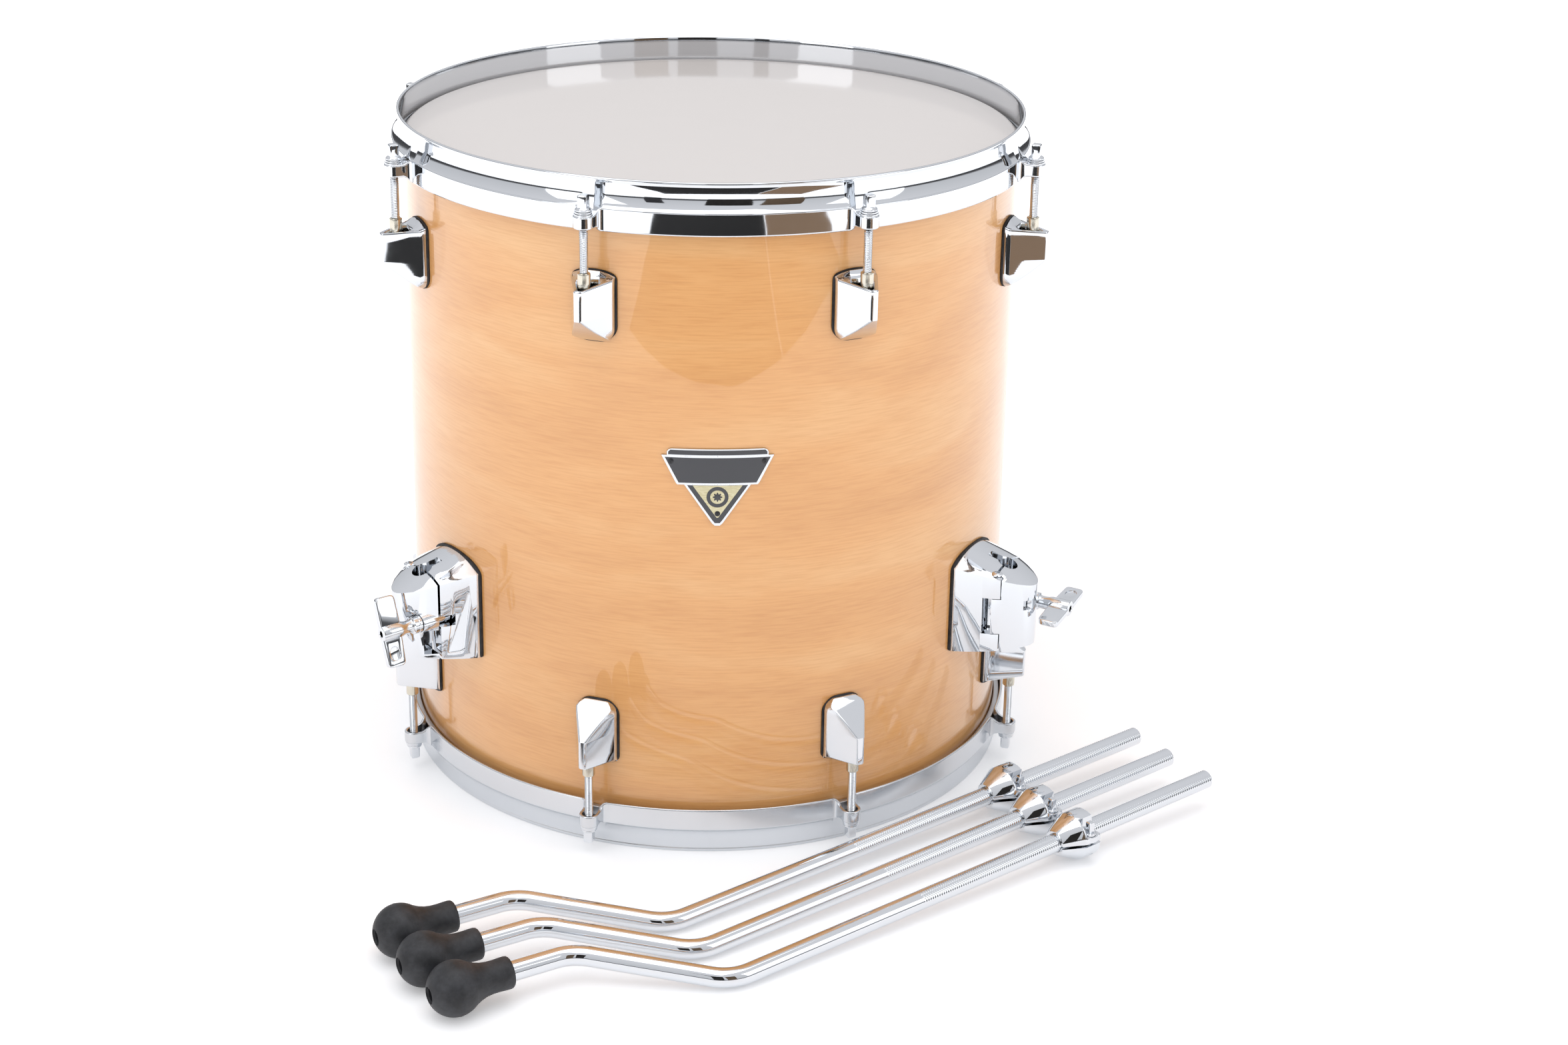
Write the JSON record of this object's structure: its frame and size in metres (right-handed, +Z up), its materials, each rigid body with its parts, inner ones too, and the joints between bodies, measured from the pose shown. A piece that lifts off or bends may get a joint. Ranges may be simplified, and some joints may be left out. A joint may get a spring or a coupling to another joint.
{
  "type": "floor tom drum",
  "caption": "Lacquered maple floor tom with clear heads, chrome hoops, lugs and hinged leg brackets, its cranked rod legs with rubber feet laid in front of it.",
  "frame": {"origin": "centre of the footprint of the drum and its three legs together, on the floor that the lower hoop stands on", "axes": "+Z up along the drum's axis, +Y from the legs towards the back of the drum, +X to the right seen from the front; the drum's axis stands at x -0.0547, y 0.0659"},
  "size_m": [0.5439, 0.6606, 0.4384],
  "materials": {
    "maple_shell": "clear gloss lacquer",
    "chrome_fittings": "polished",
    "leg_steel": "polished, knurled upper part",
    "badge_plate": "brushed with a dark border",
    "head_film": "clear polyester film",
    "foot_rubber": "matte moulded"
  },
  "bodies": {
    "drum_shell": {"shell": "maple_shell", "badge": "badge_plate", "top_lug_1": "chrome_fittings", "top_lug_2": "chrome_fittings", "top_lug_3": "chrome_fittings", "top_lug_4": "chrome_fittings", "top_lug_5": "chrome_fittings", "top_lug_6": "chrome_fittings", "top_lug_7": "chrome_fittings", "top_lug_8": "chrome_fittings", "bottom_lug_1": "chrome_fittings", "bottom_lug_2": "chrome_fittings", "bottom_lug_3": "chrome_fittings", "bottom_lug_4": "chrome_fittings", "bottom_lug_5": "chrome_fittings", "bottom_lug_6": "chrome_fittings", "bottom_lug_7": "chrome_fittings", "bottom_lug_8": "chrome_fittings", "bracket_base_1": "chrome_fittings", "bracket_base_2": "chrome_fittings", "bracket_base_3": "chrome_fittings"},
    "top_hoop_and_head": {"top_hoop": "chrome_fittings", "top_head": "head_film"},
    "top_rod_1": {"top_tension_rod_1": "chrome_fittings"},
    "top_rod_2": {"top_tension_rod_2": "chrome_fittings"},
    "top_rod_3": {"top_tension_rod_3": "chrome_fittings"},
    "top_rod_4": {"top_tension_rod_4": "chrome_fittings"},
    "top_rod_5": {"top_tension_rod_5": "chrome_fittings"},
    "top_rod_6": {"top_tension_rod_6": "chrome_fittings"},
    "top_rod_7": {"top_tension_rod_7": "chrome_fittings"},
    "top_rod_8": {"top_tension_rod_8": "chrome_fittings"},
    "bottom_hoop_and_head": {"bottom_hoop": "chrome_fittings", "bottom_head": "head_film"},
    "bottom_rod_1": {"bottom_tension_rod_1": "chrome_fittings"},
    "bottom_rod_2": {"bottom_tension_rod_2": "chrome_fittings"},
    "bottom_rod_3": {"bottom_tension_rod_3": "chrome_fittings"},
    "bottom_rod_4": {"bottom_tension_rod_4": "chrome_fittings"},
    "bottom_rod_5": {"bottom_tension_rod_5": "chrome_fittings"},
    "bottom_rod_6": {"bottom_tension_rod_6": "chrome_fittings"},
    "bottom_rod_7": {"bottom_tension_rod_7": "chrome_fittings"},
    "bottom_rod_8": {"bottom_tension_rod_8": "chrome_fittings"},
    "door_1": {"bracket_door_1": "chrome_fittings"},
    "bolt_1": {"wing_bolt_1": "chrome_fittings"},
    "door_2": {"bracket_door_2": "chrome_fittings"},
    "bolt_2": {"wing_bolt_2": "chrome_fittings"},
    "door_3": {"bracket_door_3": "chrome_fittings"},
    "bolt_3": {"wing_bolt_3": "chrome_fittings"},
    "leg_assembly_1": {"leg_1": "leg_steel", "leg_foot_1": "foot_rubber"},
    "lock_1": {"memory_lock_1": "chrome_fittings"},
    "lock_screw_body_1": {"lock_screw_1": "chrome_fittings"},
    "leg_assembly_2": {"leg_2": "leg_steel", "leg_foot_2": "foot_rubber"},
    "lock_2": {"memory_lock_2": "chrome_fittings"},
    "lock_screw_body_2": {"lock_screw_2": "chrome_fittings"},
    "leg_assembly_3": {"leg_3": "leg_steel", "leg_foot_3": "foot_rubber"},
    "lock_3": {"memory_lock_3": "chrome_fittings"},
    "lock_screw_body_3": {"lock_screw_3": "chrome_fittings"}
  },
  "joints": [
    {"name": "top_hoop_lift", "type": "slide", "parent": "drum_shell", "child": "top_hoop_and_head", "axis": [0, 0, 1], "range_m": [0, 0.00635]},
    {"name": "top_rod_1_turn", "type": "hinge", "parent": "top_hoop_and_head", "child": "top_rod_1", "pos_m": [-0.25462, -0.01945, 0.423], "axis": [0, 0, 1], "range_deg": [0, 2161]},
    {"name": "top_rod_2_turn", "type": "hinge", "parent": "top_hoop_and_head", "child": "top_rod_2", "pos_m": [-0.13718, -0.13689, 0.423], "axis": [0, 0, 1], "range_deg": [0, 2161]},
    {"name": "top_rod_3_turn", "type": "hinge", "parent": "top_hoop_and_head", "child": "top_rod_3", "pos_m": [0.0289, -0.13689, 0.423], "axis": [0, 0, 1], "range_deg": [0, 2161]},
    {"name": "top_rod_4_turn", "type": "hinge", "parent": "top_hoop_and_head", "child": "top_rod_4", "pos_m": [0.14634, -0.01945, 0.423], "axis": [0, 0, 1], "range_deg": [0, 2161]},
    {"name": "top_rod_5_turn", "type": "hinge", "parent": "top_hoop_and_head", "child": "top_rod_5", "pos_m": [0.14634, 0.14663, 0.423], "axis": [0, 0, 1], "range_deg": [0, 2161]},
    {"name": "top_rod_6_turn", "type": "hinge", "parent": "top_hoop_and_head", "child": "top_rod_6", "pos_m": [0.0289, 0.26407, 0.423], "axis": [0, 0, 1], "range_deg": [0, 2161]},
    {"name": "top_rod_7_turn", "type": "hinge", "parent": "top_hoop_and_head", "child": "top_rod_7", "pos_m": [-0.13718, 0.26407, 0.423], "axis": [0, 0, 1], "range_deg": [0, 2161]},
    {"name": "top_rod_8_turn", "type": "hinge", "parent": "top_hoop_and_head", "child": "top_rod_8", "pos_m": [-0.25462, 0.14663, 0.423], "axis": [0, 0, 1], "range_deg": [0, 2161]},
    {"name": "bottom_hoop_lift", "type": "slide", "parent": "drum_shell", "child": "bottom_hoop_and_head", "axis": [0, 0, -1], "range_m": [0, 0.00635]},
    {"name": "bottom_rod_1_turn", "type": "hinge", "parent": "bottom_hoop_and_head", "child": "bottom_rod_1", "pos_m": [-0.25462, -0.01945, 0.0154], "axis": [0, 0, -1], "range_deg": [0, 2161]},
    {"name": "bottom_rod_2_turn", "type": "hinge", "parent": "bottom_hoop_and_head", "child": "bottom_rod_2", "pos_m": [-0.13718, -0.13689, 0.0154], "axis": [0, 0, -1], "range_deg": [0, 2161]},
    {"name": "bottom_rod_3_turn", "type": "hinge", "parent": "bottom_hoop_and_head", "child": "bottom_rod_3", "pos_m": [0.0289, -0.13689, 0.0154], "axis": [0, 0, -1], "range_deg": [0, 2161]},
    {"name": "bottom_rod_4_turn", "type": "hinge", "parent": "bottom_hoop_and_head", "child": "bottom_rod_4", "pos_m": [0.14634, -0.01945, 0.0154], "axis": [0, 0, -1], "range_deg": [0, 2161]},
    {"name": "bottom_rod_5_turn", "type": "hinge", "parent": "bottom_hoop_and_head", "child": "bottom_rod_5", "pos_m": [0.14634, 0.14663, 0.0154], "axis": [0, 0, -1], "range_deg": [0, 2161]},
    {"name": "bottom_rod_6_turn", "type": "hinge", "parent": "bottom_hoop_and_head", "child": "bottom_rod_6", "pos_m": [0.0289, 0.26407, 0.0154], "axis": [0, 0, -1], "range_deg": [0, 2161]},
    {"name": "bottom_rod_7_turn", "type": "hinge", "parent": "bottom_hoop_and_head", "child": "bottom_rod_7", "pos_m": [-0.13718, 0.26407, 0.0154], "axis": [0, 0, -1], "range_deg": [0, 2161]},
    {"name": "bottom_rod_8_turn", "type": "hinge", "parent": "bottom_hoop_and_head", "child": "bottom_rod_8", "pos_m": [-0.25462, 0.14663, 0.0154], "axis": [0, 0, -1], "range_deg": [0, 2161]},
    {"name": "bracket_door_1_swing", "type": "hinge", "parent": "drum_shell", "child": "door_1", "pos_m": [-0.25128, -0.05008, 0.1337], "axis": [0, 0, -1], "range_deg": [0, 90]},
    {"name": "wing_bolt_1_turn", "type": "hinge", "parent": "door_1", "child": "bolt_1", "pos_m": [-0.24348, -0.08221, 0.1349], "axis": [-0.829, -0.5592, 0], "continuous": true},
    {"name": "bracket_door_2_swing", "type": "hinge", "parent": "drum_shell", "child": "door_2", "pos_m": [0.1251, -0.07661, 0.1337], "axis": [0, 0, -1], "range_deg": [0, 90]},
    {"name": "wing_bolt_2_turn", "type": "hinge", "parent": "door_2", "child": "bolt_2", "pos_m": [0.15197, -0.05734, 0.1349], "axis": [0.829, -0.5592, 0], "continuous": true},
    {"name": "bracket_door_3_swing", "type": "hinge", "parent": "drum_shell", "child": "door_3", "pos_m": [-0.03814, 0.29059, 0.1337], "axis": [0, 0, -1], "range_deg": [0, 90]},
    {"name": "wing_bolt_3_turn", "type": "hinge", "parent": "door_3", "child": "bolt_3", "pos_m": [-0.06914, 0.30209, 0.1349], "axis": [0, 1, 0], "continuous": true},
    {"name": "leg_1_lift", "type": "slide", "parent": "drum_shell", "child": "leg_assembly_1", "axis": [0, 0, 1], "range_m": [0, 0.06]},
    {"name": "memory_lock_1_slide", "type": "slide", "parent": "leg_assembly_1", "child": "lock_1", "axis": [0.8447, 0.534, 0.0361], "range_m": [-0.1, 0.08]},
    {"name": "lock_screw_1_turn", "type": "hinge", "parent": "lock_1", "child": "lock_screw_body_1", "pos_m": [0.14314, -0.10133, 0.016], "axis": [-0.0305, -0.0193, 0.9993], "range_deg": [-720, 720]},
    {"name": "leg_2_lift", "type": "slide", "parent": "drum_shell", "child": "leg_assembly_2", "axis": [0, 0, 1], "range_m": [0, 0.06]},
    {"name": "memory_lock_2_slide", "type": "slide", "parent": "leg_assembly_2", "child": "lock_2", "axis": [0.8447, 0.534, 0.0361], "range_m": [-0.1, 0.08]},
    {"name": "lock_screw_2_turn", "type": "hinge", "parent": "lock_2", "child": "lock_screw_body_2", "pos_m": [0.15904, -0.13223, 0.016], "axis": [-0.0305, -0.0193, 0.9993], "range_deg": [-720, 720]},
    {"name": "leg_3_lift", "type": "slide", "parent": "drum_shell", "child": "leg_assembly_3", "axis": [0, 0, 1], "range_m": [0, 0.06]},
    {"name": "memory_lock_3_slide", "type": "slide", "parent": "leg_assembly_3", "child": "lock_3", "axis": [0.8447, 0.534, 0.0361], "range_m": [-0.1, 0.08]},
    {"name": "lock_screw_3_turn", "type": "hinge", "parent": "lock_3", "child": "lock_screw_body_3", "pos_m": [0.17794, -0.16333, 0.016], "axis": [-0.0305, -0.0193, 0.9993], "range_deg": [-720, 720]}
  ],
  "couplings": [
    {"joint": "top_rod_1_turn", "follows": "top_hoop_lift", "rad_per_m": 5936.9},
    {"joint": "top_rod_2_turn", "follows": "top_hoop_lift", "rad_per_m": 5936.9},
    {"joint": "top_rod_3_turn", "follows": "top_hoop_lift", "rad_per_m": 5936.9},
    {"joint": "top_rod_4_turn", "follows": "top_hoop_lift", "rad_per_m": 5936.9},
    {"joint": "top_rod_5_turn", "follows": "top_hoop_lift", "rad_per_m": 5936.9},
    {"joint": "top_rod_6_turn", "follows": "top_hoop_lift", "rad_per_m": 5936.9},
    {"joint": "top_rod_7_turn", "follows": "top_hoop_lift", "rad_per_m": 5936.9},
    {"joint": "top_rod_8_turn", "follows": "top_hoop_lift", "rad_per_m": 5936.9},
    {"joint": "bottom_rod_1_turn", "follows": "bottom_hoop_lift", "rad_per_m": 5936.9},
    {"joint": "bottom_rod_2_turn", "follows": "bottom_hoop_lift", "rad_per_m": 5936.9},
    {"joint": "bottom_rod_3_turn", "follows": "bottom_hoop_lift", "rad_per_m": 5936.9},
    {"joint": "bottom_rod_4_turn", "follows": "bottom_hoop_lift", "rad_per_m": 5936.9},
    {"joint": "bottom_rod_5_turn", "follows": "bottom_hoop_lift", "rad_per_m": 5936.9},
    {"joint": "bottom_rod_6_turn", "follows": "bottom_hoop_lift", "rad_per_m": 5936.9},
    {"joint": "bottom_rod_7_turn", "follows": "bottom_hoop_lift", "rad_per_m": 5936.9},
    {"joint": "bottom_rod_8_turn", "follows": "bottom_hoop_lift", "rad_per_m": 5936.9}
  ]
}
